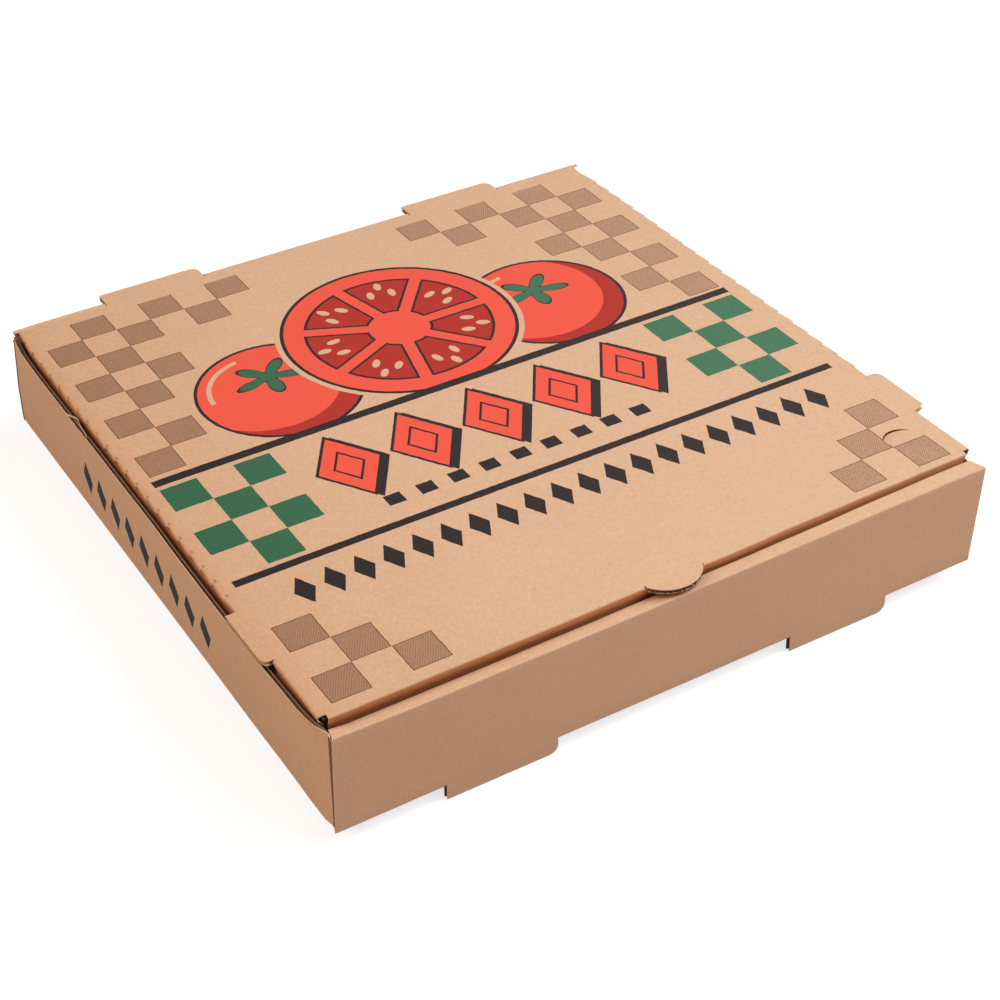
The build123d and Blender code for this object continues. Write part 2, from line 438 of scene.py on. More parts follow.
def curl_shred():
    """The shred of liner that hangs on to the tear"""
    points = [Vector((inward - box_width / 2, front_y + along, z)) for inward, along, z in shred_path]
    bm, row = lay_row(points[0], points[0] + Z * shred_height, X, 0)
    for here, there in zip(points, points[1:]):
        row = grow(bm, row, there - here)
    return bm


print("tear", tear_line[-1][0] - tear_line[0][0], "mm long")

# %% [markdown]
# ## Lid
# The lid starts at its back fold, runs forward and folds down into the tuck flap. Its side flaps fold down
# inside the side walls. Five tabs stay in the plane of the lid where the board beside them folds: two at the
# back, one on each side and the round thumb tab in front.

# %% Lid panel and tuck flap
tuck_mid = crease_y + board / 2
flap_mid = lid_width / 2 - board / 2
relief_depth = 2.8
side_flap_ends = (crease_y + relief_depth, back_y - 2 * board - 2 * layer_gap - flap_gap)
side_tab_ends = (front_y + side_tab_front, front_y + side_tab_front + side_tab_width)
side_tab_cuts = (side_tab_ends[0] - cut_gap, side_tab_ends[1] + cut_gap)
thumb_half, thumb_gap_half = thumb_width / 2, thumb_width / 2 + cut_gap
thumb_radius = (thumb_width ** 2 / 4 + thumb_reach ** 2) / (2 * thumb_reach)


def slice_round(bm, test, centre, radius, down, clear):
    """Planes along an arc, spread evenly to both sides of a direction that points down"""
    count, spread = 14, 1.05
    for i in range(count):
        a = (2 * (i + 0.5) / count - 1) * spread
        out = down * math.cos(a) + X * math.sin(a)
        slice_faces(bm, near(bm, test), centre + out * radius, out, clear)


def lid_strip(offset, radius, wave, back_end):
    """One paper of the lid panel and its tuck flap, scored for the tabs"""
    width = lid_width / 2
    path = [(0, back_end, lid_mid), (0, tuck_mid, lid_mid), (0, tuck_mid + flap_lean, flap_low)]
    start = Vector(path[0])
    bm, row = lay_row(start - X * width, start + X * width, Z, offset, wave)
    fold_along(bm, row, path, X, offset, radius)
    score(bm, X, [*tab_lines, -thumb_gap_half, -thumb_half, thumb_half, thumb_gap_half])
    return bm


def cut_thumb(bm, offset, radius):
    """The thumb tab and the opening that it leaves in the tuck flap"""
    bend = math.atan2(flap_lean, lid_mid - flap_low) + math.pi / 2
    flat_end = tuck_mid - offset * math.tan(bend / 2) + radius * math.tan(bend / 2)
    take_out(bm, lambda c: abs(c.x) < thumb_gap_half and c.y < flat_end - 0.05 and c.z > lid_bottom - 0.4)
    low = lid_bottom - thumb_reach - cut_gap
    gap_radius = thumb_radius + cut_gap
    disc = Vector((0, 0, low + gap_radius))
    in_flap = lambda c: abs(c.x) < 24 and c.y < crease_y + 9 and low - 4 < c.z < lid_bottom + 2
    slice_round(bm, in_flap, disc, gap_radius, -Z, False)
    in_disc = lambda c: math.hypot(c.x, c.z - disc.z) < gap_radius * 0.999
    take_out(bm, lambda c: in_flap(c) and in_disc(c) and c.z < lid_bottom + 0.6)
    at_fold = lambda c: abs(c.x) < thumb_half and abs(c.y - flat_end) < 0.02
    row = edge_row(bm, lambda c: at_fold(c) and c.z > lid_bottom - 0.5)
    tip = crease_y - thumb_reach
    grow_last(bm, row, -Y * (flat_end - tip))
    on_tab = lambda c: c.y < flat_end - 0.05 and c.z > lid_bottom - 0.5 and abs(c.x) < thumb_half + 0.1
    slice_round(bm, on_tab, Vector((0, tip + thumb_radius, 0)), thumb_radius, -Y, True)


def taper_tuck_flap(bm):
    """Leaning ends and round lower corners of the tuck flap, and the relief holes above them"""
    half = lid_width / 2 - corner_relief
    score(bm, X, (-half, half))
    score(bm, Y, [side_flap_ends[0]], lambda c: abs(c.x) > half and c.z > lid_bottom - 0.5)
    take_out(bm, lambda c: abs(c.x) > half and c.y < side_flap_ends[0])
    for side in (-1, 1):
        on_flap = lambda c: c.y < crease_y + 9 and c.z < lid_bottom and c.x * side > half - 60
        lean_end(bm, on_flap, Vector((side * half, 0, lid_bottom)), X * side)


print("thumb tab radius", round(thumb_radius, 1))

# %% [markdown]
# The side flaps go the same way as the side walls, but down. Where a tab stands, the board between the fold
# and the tab's own depth is opened, because the tab is cut from there and stays level.

# %% Side flaps and tabs of the lid


def fold_lid_side(bm, side, offset, radius):
    """One side flap of a liner, with the side tab that stays in the plane of the lid"""
    side_cut = flap_mid + offset - radius
    at_edge = lambda c: c.x * side > side_cut - 4 and c.z > lid_bottom - 1
    score(bm, X, [side * side_cut], lambda c: c.z > lid_bottom - 0.5)
    score(bm, Y, [*side_flap_ends, *side_tab_ends, *side_tab_cuts], at_edge)
    take_out(bm, lambda c: c.x * side > side_cut and between(c.y, side_flap_ends) and c.z > lid_bottom - 0.5)
    at_cut = lambda c: abs(c.x - side * side_cut) < 0.01 and c.z > lid_bottom - 1
    row = edge_row(bm, lambda c: at_cut(c) and between(c.y, side_flap_ends))
    path = [(0, 0, lid_mid), (side * flap_mid, 0, lid_mid), (side * flap_mid, 0, flap_low)]
    fold_along(bm, row, path, Y * side, offset, radius, side_cut)
    cut_side_flap(bm, side, side_cut)
    row = edge_row(bm, lambda c: at_cut(c) and between(c.y, side_tab_ends))
    reach = lid_width / 2 + lid_tab_reach
    grow_last(bm, row, X * side * (reach - side_cut))
    turn_y = side_tab_ends[1] - tab_round if side > 0 else side_tab_ends[0] + tab_round
    corner = Vector((side * (reach - tab_round), turn_y, 0))
    beyond_cut = lambda c: c.x * side > side_cut + 0.01 and c.z > lid_bottom - 0.5
    on_tab = lambda c: beyond_cut(c) and between(c.y, side_tab_ends)
    round_off(bm, on_tab, corner, tab_round, X * side, Y * side)


def cut_side_flap(bm, side, side_cut):
    """Opening under the side tab, and the leaning ends of a side flap"""
    sill = lid_top - lid_tab_reach - cut_gap
    on_flap = lambda c: abs(c.x - side * flap_mid) < 3 and c.z < lid_bottom + 2.2
    score(bm, Z, [sill], lambda c: on_flap(c) and between(c.y, side_tab_cuts, 20))
    take_out(bm, lambda c: c.x * side > side_cut + 0.01 and between(c.y, side_tab_cuts) and c.z > sill)
    end_length = 30
    for end, ahead in zip(side_flap_ends, (-1, 1)):
        score(bm, Y, [end - ahead * end_length], lambda c: on_flap(c) and c.z < lid_bottom)
        low_end = lambda c: on_flap(c) and c.z < lid_bottom and abs(c.y - end) < end_length
        lean_end(bm, low_end, Vector((0, end, lid_bottom)), Y * ahead)


def lid_side_flutes(side):
    """Fluted paper of one side flap, whose flutes lie level"""
    start = Vector((side * flap_mid, side_flap_ends[0], 0))
    low, high = flap_low + 0.1, lid_bottom - 0.5
    bm, row = lay_row(start + Z * low, start + Z * high, X * side, 0, wave=True)
    length = side_flap_ends[1] - side_flap_ends[0]
    grow_last(bm, row, Y * length)
    score(bm, Y, side_tab_cuts)
    cut_side_flap(bm, side, flap_mid - 2)
    return bm


def add_back_tabs(bm, back_end):
    """The two tabs that stand out past the back fold"""
    row = edge_row(bm, lambda c: in_tabs(c.x) and abs(c.y - back_end) < 0.01)
    grow_last(bm, row, Y * (back_y + lid_tab_reach - back_end))
    for ends in tab_ends:
        corner = Vector((ends[1] - tab_round, back_y + lid_tab_reach - tab_round, 0))
        on_tab = lambda c: c.y > back_y - 4 and between(c.x, ends)
        round_off(bm, on_tab, corner, tab_round, X, Y)


print("side flaps from", side_flap_ends)

# %% [markdown]
# The steam vent is a half-round knife cut. Its arc is sliced twice, a knife's width apart, and the thin ring
# between the two lines is taken out of every paper of the lid.

# %% Steam vent
vent_centre = Vector((box_width / 2 - 24.0, front_y + 37.0, 0))
vent_radius, vent_turn, kerf, vent_dip = 8.5, math.radians(24), 0.4, 1.3
vent_side = Vector((-math.sin(vent_turn), math.cos(vent_turn), 0))


def cut_vent(bm):
    """Half-round slit through one paper of the lid"""
    count, frame_half = 12, 11
    around = lambda c: (c - vent_centre).xy.length < vent_radius + 6 and c.z > lid_bottom - 0.6
    top = lambda c: c.z > lid_bottom - 0.6 and c.x > 100
    score(bm, X, (vent_centre.x - frame_half, vent_centre.x + frame_half), top)
    score(bm, Y, (vent_centre.y - frame_half, vent_centre.y + frame_half), top)
    angles = [vent_turn + (i + 0.5) / count * math.pi for i in range(count)]
    planes = [Vector((math.cos(a), math.sin(a), 0)) for a in angles]
    slice_faces(bm, near(bm, around), vent_centre, vent_side)
    edges = (vent_radius - kerf / 2, vent_radius + kerf / 2)
    for radius in edges:
        for out in planes:
            slice_faces(bm, near(bm, around), vent_centre + out * radius, out)
    inside = lambda c, radius: all((c - vent_centre).dot(out) < radius for out in planes)
    in_slit = lambda c: inside(c, edges[1]) and not inside(c, edges[0])
    take_out(bm, lambda c: around(c) and (c - vent_centre).dot(vent_side) > 0 and in_slit(c))


def in_vent(p):
    """1 on the flap of the vent and 0 off it"""
    return 1 if (p - vent_centre).xy.length < vent_radius + 0.1 else 0


print("steam vent at", tuple(round(c, 1) for c in vent_centre.xy))

# %% [markdown]
# A knife also nicks the side folds of the lid every half inch, so that they bend easily. Each nick leaves a
# small lip that stands out at its front end. The fold is scored there, and the lips are moved out below.

# %% Nicked side folds
nick_pitch, nick_start = 12.7, 27.75
nick_ends = (front_y + 97, back_y - 8)
lip_shares = (0.0, 0.3, 0.62, 0.93)


def score_nicks(bm):
    """Lines across the side folds of the outer liner, where lips start and end"""
    at_fold = lambda c: abs(c.x) > flap_mid - 4 and c.z > lid_bottom - 4
    score(bm, X, (-flap_mid, flap_mid), lambda c: c.z > lid_top - 0.5)
    first = math.ceil((nick_ends[0] - nick_start) / nick_pitch)
    last = math.floor((nick_ends[1] - nick_start) / nick_pitch)
    nicks = [nick_start + i * nick_pitch for i in range(first, last)]
    score(bm, Y, [nick + share * nick_pitch for nick in nicks for share in lip_shares], at_fold)


def lip(y):
    """How far a lip stands out: most just behind its nick, then falling away to the next"""
    if not between(y, nick_ends):
        return 0.0
    share = (y - nick_start) / nick_pitch % 1.0
    return 0.97 - 1.07 * share if share < 0.93 else (share - 0.95) * 20


print("nicks every", nick_pitch, "mm, from", nick_ends[0], "to", nick_ends[1])

# %% [markdown]
# ## Settled shape
# A box that has been folded and handled is never true: walls bow, folds wander and the front sags at one end.
# Each part has a smooth field of small moves, given by a few measured points along its edges, and all the
# papers of a part follow it. Moving the sheets before they get thickness keeps the paper's gauge even.

# %% Curves of measured moves


def clamp(value):
    """A value kept between 0 and 1"""
    return min(1.0, max(0.0, value))


def smooth_step(value, low, high):
    """0 below low, 1 above high, and a smooth ramp between"""
    t = clamp((value - low) / (high - low))
    return t * t * (3 - 2 * t)


def fade(value, low, high):
    """1 below low, 0 above high, and a smooth ramp between"""
    return 1 - smooth_step(value, low, high)


def curve(value, points):
    """Smooth line through measured points, each a place and a move"""
    for (a, low), (b, high) in zip(points, points[1:]):
        if value < b:
            return low + (high - low) * smooth_step(value, a, b)
    return points[-1][1]


wall_bow = {
    -1: ((0, -1.9), (8, -0.2), (15, 1.3), (25, 2.2), (60, 2.8), (105, 2.9), (140, 2.6), (187, 1.8),
         (322, 1.3), (372, 0.3)),
    1: ((0, 0.6), (15, 2.4), (40, 3.8), (250, 3.9), (300, 3.7), (350, 2.8), (372, 1.8)),
}
lid_spread = {
    -1: ((18, 2.9), (28, 2.6), (109, 2.0), (143, 1.5), (190, 1.1), (240, 1.1), (292, 0.75), (350, 0.3)),
    1: ((15, 4.3), (110, 4.4), (150, 4.4), (200, 4.2), (300, 3.8), (350, 2.9), (372, 1.8)),
}
tab_spread = {-1: -1.6, 1: 2.5}
lip_height = {-1: 0.6, 1: 1.1}
strip_outer = ((0, -1.9), (12, -2.2), (44, -2.7), (119, -2.5), (210, -1.4), (253, -0.7), (301, 0), (337, 0.6))
strip_inner = ((0, -3.8), (15, -5.0), (68, -4.8), (119, -4.3), (210, -2.6), (253, -1.6), (301, 0), (337, 1.0))
base_front = ((0, -1.2), (60, -0.9), (180, -0.9), (260, -0.5), (357, 0))
base_left = ((0, -1.2), (25, -1.6), (45, -0.8), (80, -1.1), (130, -0.6), (200, -0.4), (300, 0))
lid_front = ((5, -2.0), (44, -1.8), (68, -1.6), (119, -1.5), (154, -0.8), (210, -0.9), (253, 0.5),
             (301, 0.9), (337, 1.4))
print("wall bows out up to", max(move for _, move in wall_bow[1]), "mm")

# %% [markdown]
# A field adds such moves up. Each move fades away from its own edge or corner, so a sheet bends and never
# breaks, and parts that touch share a move, such as a side wall and the flap of the lid behind it.

# %% Fields of the tray and the lid
corner_lean, corner_press = 3.0, 1.5
wall_pinch, wall_tuck, right_dip = 2.6, 1.2, 3.0
flap_push, tuck_recess, tab_swing = 1.6, 1.5, 2.5
right_lift, left_droop, thumb_shift = 0.5, 0.9, 2.0


def box_place(p):
    """How far a point is from the left side and from the front, and -1 or 1 for the half it lies in"""
    return p.x + box_width / 2, p.y - front_y, 1 if p.x > 0 else -1


def wall_rise(z):
    """0 at the foot of the side walls and 1 at their top"""
    return clamp((z - base_z) / (side_top - base_z))


def back_shift(left, front, z):
    """The back edge is not quite square to the sides, and its lower left corner leans back"""
    shift = (0.1 - 2.2 * left / box_width) * smooth_step(front, 250, box_depth) * smooth_step(z, 30, 64)
    return shift + corner_lean * fade(left, 0, 140) * smooth_step(front, 330, box_depth) * fade(z, 9, 60)


def corner_pull(left, front, z):
    """The back left corner is pressed in at its top"""
    return corner_press * fade(left, 0, 14) * smooth_step(front, 352, 371) * smooth_step(z, 30, 62)


def settle_tray(p):
    """Where a point of the true tray lies on the handled one"""
    left, front, side = box_place(p)
    rise = wall_rise(p.z)
    out = curve(front, wall_bow[side]) * rise * (abs(p.x) / (box_width / 2)) ** 4
    pinch = wall_pinch * (1 - rise) * smooth_step(left, 302, box_width) * fade(front, 5, 120)
    roll = clamp(front / strip_depth)
    sag = curve(left, strip_outer) * (1 - roll) + curve(left, strip_inner) * roll
    sag *= smooth_step(p.z, 20, 62) * fade(front, 8.8, 9.0)
    sag *= 1 - smooth_step(abs(p.x), 177.7, 178.3) * smooth_step(front, 2.6, 3.0)
    if front > 2.9 and abs(p.x) > wall_mid - 1.5 and p.z < side_top + 0.1:
        out -= wall_tuck * fade(front, 3, 10)
        sag -= right_dip * fade(front, 8, 34) * smooth_step(p.z, 30, 60) * (side + 1) / 2
    corner = fade(front, 5, 40)
    sink = curve(left, base_front) * corner + curve(front, base_left) * (1 - corner) * fade(left, 0, 60)
    sink *= fade(p.z, 9, 30) * min(1.0, p.z / base_z)
    aside = corner_pull(left, front, p.z) - pinch
    return p + Vector((side * out + aside, back_shift(left, front, p.z), sag + sink))


def settle_lid(p):
    """Where a point of the true lid lies on the handled one"""
    left, front, side = box_place(p)
    edge = abs(p.x) / (lid_width / 2)
    spread = curve(front, lid_spread[side]) * min(1.0, edge) ** 4
    spread += lip_height[side] * lip(p.y) * smooth_step(abs(p.x), flap_mid - 0.6, flap_mid + 0.9)
    tab = clamp((abs(p.x) - lid_width / 2) / lid_tab_reach)
    spread += (tab_spread[side] - spread) * tab
    held = curve(front, wall_bow[side]) * wall_rise(p.z) * edge ** 4
    upper = smooth_step(p.z, 61, 66)
    in_flap = 1 if abs(p.x) > lid_width / 2 - 3.4 else 0
    out = side * (spread + (min(spread, held) - flap_push - spread) * (1 - upper) * in_flap)
    forward = curve(left, lid_front) * fade(front, 12, 45) * smooth_step(p.z, 56, 65)
    forward += tuck_recess * fade(p.z, 60.5, 66) * fade(front, 16, 24) * (1 - in_flap)
    forward += tab_swing * tab * fade(front, 53, 70) * (side + 1) / 2
    lift = right_lift * smooth_step(left, 210, 337) * fade(front, 12, 80) * upper
    droop = smooth_step(-p.x, 146, 176) * smooth_step(-p.x, 146, 206) * smooth_step(front, 80, 110)
    dip = smooth_step((p - vent_centre).dot(vent_side), 0, vent_radius) * in_vent(p) * upper
    lift -= left_droop * droop + vent_dip * dip
    aside = thumb_shift * fade(abs(p.x), 22, 60) * fade(front, 22, 60)
    aside += corner_pull(left, front, p.z)
    return p + Vector((out + aside, back_shift(left, front, p.z) + forward, lift))


def settle(bm, field):
    """Moves the vertices of a sheet by a field"""
    for v in bm.verts:
        v.co = field(v.co)


lid_corner = Vector((-175, -175, 67))
move = settle_lid(lid_corner) - lid_corner
print("front left corner of the lid moves by", tuple(round(c, 1) for c in move), "mm")

# %% [markdown]
# ## From sheets to pieces
# Each sheet is scored into a grid so that it can bend, merged, turned outward, settled and given the
# thickness of its paper. Smooth shading stops at angles that are real edges.

# %% Make a piece
bend_grid, flute_grid = 15.0, 45.0
side_lines = [-172, -168, 168, 172]
front_lines = [front_y + along for along in (4, 15, 25, 40)]
wall_lines = [floor_z + 4 + i * bend_grid for i in range(4)]
merge_gap, least_edge = 0.06, 0.02
sharp_angle = math.radians(40)


def make_piece(name, sheets, thickness, facing, field, grid=bend_grid):
    """One object from sheets in millimetres; facing gives the outward side of a point, field its move"""
    whole = bmesh.new()
    half = int(180 / grid)
    grid_lines = [i * grid for i in range(-half, half + 1)]
    for bm in sheets:
        score(bm, X, grid_lines + side_lines)
        score(bm, Y, grid_lines + front_lines)
        score(bm, Z, wall_lines)
        bmesh.ops.remove_doubles(bm, verts=bm.verts, dist=merge_gap)
        bmesh.ops.dissolve_degenerate(bm, edges=bm.edges, dist=least_edge)
        bmesh.ops.recalc_face_normals(bm, faces=bm.faces)
        turn_outward(bm, facing)
        settle(bm, field)
        sheet_verts = set(bm.verts)
        bmesh.ops.solidify(bm, geom=bm.faces[:], thickness=thickness)
        for f in bm.faces:
            f.material_index = int(0 < sum(v in sheet_verts for v in f.verts) < len(f.verts))
        part = bpy.data.meshes.new(name)
        bm.to_mesh(part)
        bm.free()
        whole.from_mesh(part)
        bpy.data.meshes.remove(part)
    bmesh.ops.scale(whole, vec=(MM, MM, MM), verts=whole.verts)
    return link_piece(name, whole)


def turn_outward(bm, facing):
    """Reverses a sheet if most of it looks away from its outward side"""
    if sum(f.calc_area() * f.normal.dot(facing(f.calc_center_median())) for f in bm.faces) < 0:
        bmesh.ops.reverse_faces(bm, faces=bm.faces)


def link_piece(name, bm):
    """Puts a finished mesh into the scene"""
    mesh = bpy.data.meshes.new(name)
    bm.to_mesh(mesh)
    bm.free()
    mesh.shade_smooth()
    mesh.set_sharp_from_angle(angle=sharp_angle)
    piece = bpy.data.objects.new(name, mesh)
    scene.collection.objects.link(piece)
    mesh.calc_loop_triangles()
    print(name, len(mesh.loop_triangles), "triangles")
    return piece


print("liners bend every", bend_grid, "mm, flutes every", flute_grid, "mm")

# %% [markdown]
# The tray is made three times over, as its outer liner, inner liner and flutes. The outer liner stops below
# the back fold, where the crease takes over, and only the outer liner of the left wall is torn.

# %% Tray pieces
outer, inner = board / 2, liner - board / 2
outer_radius, inner_radius = 1.1, 0.5


def tray_outward(c):
    """Outward side of the tray's liners: down under the base, and away from the middle on the walls"""
    if c.z < floor_z + 1:
        return -Z
    return X * math.copysign(1, c.x) if abs(c.x) > wall_mid - 3 else Y * math.copysign(1, c.y)


tray_skins = {}
for name, offset, radius in (("outer", outer, outer_radius), ("inner", inner, inner_radius)):
    sheet = tray_spine(offset, radius, back_end=hinge_low if name == "outer" else back_top)
    fold_side(sheet, 1, offset, radius)
    fold_side(sheet, -1, offset, radius)
    if name == "outer":
        tear_liner(sheet)
    sheets = [sheet] + corner_flaps(offset)
    tray_skins[name] = make_piece(f"tray_{name}_liner", sheets, liner, tray_outward, settle_tray)
sheets = [tray_spine(0, flute_radius, wave=True), side_flutes(1), side_flutes(-1)]
tray_flutes = make_piece("tray_flutes", sheets, medium, tray_outward, settle_tray, grid=flute_grid)
torn_shred = make_piece("torn_shred", [curl_shred()], shred_gauge, lambda c: -X, settle_tray)

# %% [markdown]
# The lid is made in the same way. Its flutes run from front to back in the panel and level in the side flaps,
# so the side flaps have fluted sheets of their own.

# %% Lid pieces


def lid_outward(c):
    """Outward side of the lid's liners"""
    if c.z > lid_bottom - 1:
        return Z
    return X * math.copysign(1, c.x) if abs(c.x) > flap_mid - 3 else -Y


hinge_y, lid_back = back_y - 3.4, back_y - 0.4
lid_skins = {}
for name, offset, radius in (("outer", outer, outer_radius), ("inner", inner, inner_radius)):
    back_end = hinge_y if name == "outer" else lid_back
    sheet = lid_strip(offset, radius, False, back_end)
    cut_thumb(sheet, offset, radius)
    taper_tuck_flap(sheet)
    fold_lid_side(sheet, 1, offset, radius)
    fold_lid_side(sheet, -1, offset, radius)
    add_back_tabs(sheet, back_end)
    cut_vent(sheet)
    if name == "outer":
        score_nicks(sheet)
    lid_skins[name] = make_piece(f"lid_{name}_liner", [sheet], liner, lid_outward, settle_lid)
sheet = lid_strip(0, flute_radius, True, lid_back)
cut_thumb(sheet, 0, flute_radius)
taper_tuck_flap(sheet)
add_back_tabs(sheet, lid_back)
cut_vent(sheet)
sheets = [sheet, lid_side_flutes(1), lid_side_flutes(-1)]
lid_flutes = make_piece("lid_flutes", sheets, medium, lid_outward, settle_lid, grid=flute_grid)

# %% [markdown]
# The back fold is a piece of its own, because its paper alone has to bend as the lid swings. It lies in three
# strips beside the two back tabs, and meets the outer liner of the tray below and that of the lid in front.

# %% Hinge crease
tab_gaps = [x for low, high in tab_ends for x in (low - cut_gap, high + cut_gap)]
hinge_ends = [-box_width / 2, *tab_gaps, box_width / 2]
path = [(0, back_mid, hinge_low), (0, back_mid, lid_mid), (0, hinge_y, lid_mid)]
foot = Vector(path[0])
strips = []
for start, end in zip(hinge_ends[::2], hinge_ends[1::2]):
    sheet, row = lay_row(foot + X * start, foot + X * end, Y, outer)
    fold_along(sheet, row, path, X, outer, outer_radius)
    strips.append(sheet)
hinge_crease = make_piece("hinge_crease", strips, liner, lambda c: Vector((0, 1, 1)), settle_lid)

# %% [markdown]
# ## Shader maths
# A material is a small calculation on the place of a point. Wrapping a socket in a class lets Python's own
# operators add the Math nodes, so a printed shape reads as the formula that it is.

# %% A value in a material


class Flow:
    """A value on its way through the nodes of a material"""

    def __init__(self, tree, socket):
        self.tree, self.socket = tree, socket

    def node(self, kind, settings, inputs, output=0):
        """Adds a node by its type, its settings and the values or links of its sockets"""
        made = self.tree.nodes.new(kind)
        for key, value in settings.items():
            setattr(made, key, value)
        for key, value in inputs.items():
            if isinstance(value, Flow):
                self.tree.links.new(value.socket, made.inputs[key])
            else:
                made.inputs[key].default_value = value
        return Flow(self.tree, made.outputs[output])

    def math(self, operation, first, second=0.0):
        return self.node("ShaderNodeMath", {"operation": operation}, {0: first, 1: second})

    def __add__(self, other):
        return self.math("ADD", self, other)

    def __sub__(self, other):
        return self.math("SUBTRACT", self, other)

    def __rsub__(self, other):
        return self.math("SUBTRACT", other, self)

    def __mul__(self, other):
        return self.math("MULTIPLY", self, other)

    def __truediv__(self, other):
        return self.math("DIVIDE", self, other)

    def __mod__(self, other):
        return self.math("FLOORED_MODULO", self, other)

    def __lt__(self, other):
        return self.math("LESS_THAN", self, other)

    def __gt__(self, other):
        return self.math("GREATER_THAN", self, other)

    def __and__(self, other):
        return self.math("MINIMUM", self, other)

    def __or__(self, other):
        return self.math("MAXIMUM", self, other)

    def __abs__(self):
        return self.math("ABSOLUTE", self)

    def floor(self):
        return self.math("FLOOR", self)

    def sine(self):
        return self.math("SINE", self)

    __radd__, __rmul__ = __add__, __mul__


def length(u, v):
    """Distance of the point u, v from the origin"""
    return u.math("SQRT", u * u + v * v)


def within(value, low, high):
    """1 between two limits"""
    return (value > low) & (value < high)


def blend_colour(factor, first, second):
    """Mixes two colours"""
    source = next(f for f in (factor, first, second) if isinstance(f, Flow))
    return source.node("ShaderNodeMix", {"data_type": "RGBA"}, {0: factor, 6: first, 7: second}, output=2)


def ink(red, green, blue):
    """A colour as seen on screen, as the linear value that a shader takes"""
    shares = [c / 255 for c in (red, green, blue)]
    linear = [c / 12.92 if c <= 0.04045 else ((c + 0.055) / 1.055) ** 2.4 for c in shares]
    return (*linear, 1.0)


print("a screen value of 128 is", round(ink(128, 128, 128)[0], 3), "in linear light")

# %% [markdown]
# ## Kraft paper
# Kraft liner is matt, with fine fibres, faint clouds and a few darker specks. The flutes show through as the
# faintest washboard. Noise on Object coordinates keeps all of this fixed to the board as the lid swings.

# %% Kraft paper
kraft_tone = ink(217, 175, 143)
paper_gloss, fibre_relief = 0.22, 0.00006


def new_paper(name):
    """An empty paper material, its shader, and the place of a point in millimetres"""
    material = bpy.data.materials.new(name)
    material.use_nodes = True
    tree = material.node_tree
    shader = tree.nodes["Principled BSDF"]
    shader.inputs["Specular IOR Level"].default_value = paper_gloss
    metres = Flow(tree, tree.nodes.new("ShaderNodeTexCoord").outputs["Object"])
    place = metres.node("ShaderNodeVectorMath", {"operation": "SCALE"}, {0: metres, "Scale": 1 / MM})
    return material, shader, place


def noise(place, scale, detail, roughness=0.6):
    """Cloudy noise with a scale per millimetre"""
    inputs = {"Vector": place, "Scale": scale, "Detail": detail, "Roughness": roughness}
    return place.node("ShaderNodeTexNoise", {}, inputs)


def axes(place):
    """The three coordinates of a place"""
    split = place.node("ShaderNodeSeparateXYZ", {}, {0: place})
    return [Flow(place.tree, split.socket.node.outputs[i]) for i in range(3)]


def paper_finish(shader, place, colour, fibre):
    """Joins a colour to the shader, with the fibre's roughness and relief"""
    tree = place.tree
    bump = place.node("ShaderNodeBump", {}, {"Strength": 1.0, "Distance": fibre_relief, "Height": fibre})
    tree.links.new(colour.socket, shader.inputs["Base Color"])
    tree.links.new((fibre * 0.14 + 0.8).socket, shader.inputs["Roughness"])
    tree.links.new(bump.socket, shader.inputs["Normal"])


def kraft_colour(place, tone):
    """Paper colour with fibres, clouds and specks, and the fibre pattern itself"""
    stretched = place.node("ShaderNodeVectorMath", {"operation": "MULTIPLY"}, {0: place, 1: (1.0, 0.45, 1.0)})
    fibre = noise(stretched, 0.9, 5.0, 0.7)
    clouds = noise(place, 0.035, 3.0)
    specks = noise(place, 1.6, 1.0) > 0.74
    mottle = noise(place, 0.3, 3.0)
    level = 1.0 + (fibre - 0.5) * 0.46 + (mottle - 0.5) * 0.16 + (clouds - 0.5) * 0.07 - specks * 0.14
    colour = place.node("ShaderNodeVectorMath", {"operation": "SCALE"}, {0: tone[:3], "Scale": level})
    return colour, fibre


def tinted(colour, share, tint):
    """A colour multiplied by a tint where a share is 1, and as it was where that is 0"""
    product = colour.node("ShaderNodeVectorMath", {"operation": "MULTIPLY"}, {0: colour, 1: tint})
    return blend_colour((share | 0.0) & 1.0, colour, product)


def kraft_paper(name, tone):
    """Plain liner or fluting"""
    material, shader, place = new_paper(name)
    colour, fibre = kraft_colour(place, tone)
    paper_finish(shader, place, colour, fibre)
    return material


outside_kraft = kraft_paper("outside_kraft", kraft_tone)
inside_kraft = kraft_paper("inside_kraft", ink(214, 172, 136))
# darker medium paper, darkened further as painted shade of the hollows between the liners
fluting_and_painted_shade = kraft_paper("fluting_and_painted_shade", ink(104, 74, 52))
pale_edge = kraft_paper("pale_edge", ink(228, 196, 166))
# painted shade: the cut edges of inner liners and of the lid's flutes darkened for the crevices in the board
painted_shade_edge = kraft_paper("painted_shade_edge", ink(84, 62, 44))
flute_edge = kraft_paper("flute_edge", ink(170, 136, 104))
torn_paper = kraft_paper("torn_paper", ink(228, 208, 180))
print("paper", [m.name for m in (outside_kraft, inside_kraft, fluting_and_painted_shade)])

# %% [markdown]
# ## Print
# The lid is printed in black, green and red, with check squares of fine dark lines. Each shape is a formula
# on the place in millimetres from the box's left side and front, mirrored about the middle if the print is.
# The press wobbles a little, so the place is shifted by a small noise before the shapes are worked out.

# %% Printed shapes
cell_width, cell_depth = 19.7, 19.4
green_width, green_depth = 19.5, 19.9
large_row = {"start": 76.0, "pitch": 41.0, "count": 5, "half_width": 18.5, "half_height": 29.0}
small_row = {"start": 27.0, "pitch": 15.2, "count": 20, "half_width": 5.4, "half_height": 10.5}
wall_row = {"start": 117.0, "pitch": 18.1, "count": 9, "half_width": 6.0, "half_height": 10.5}


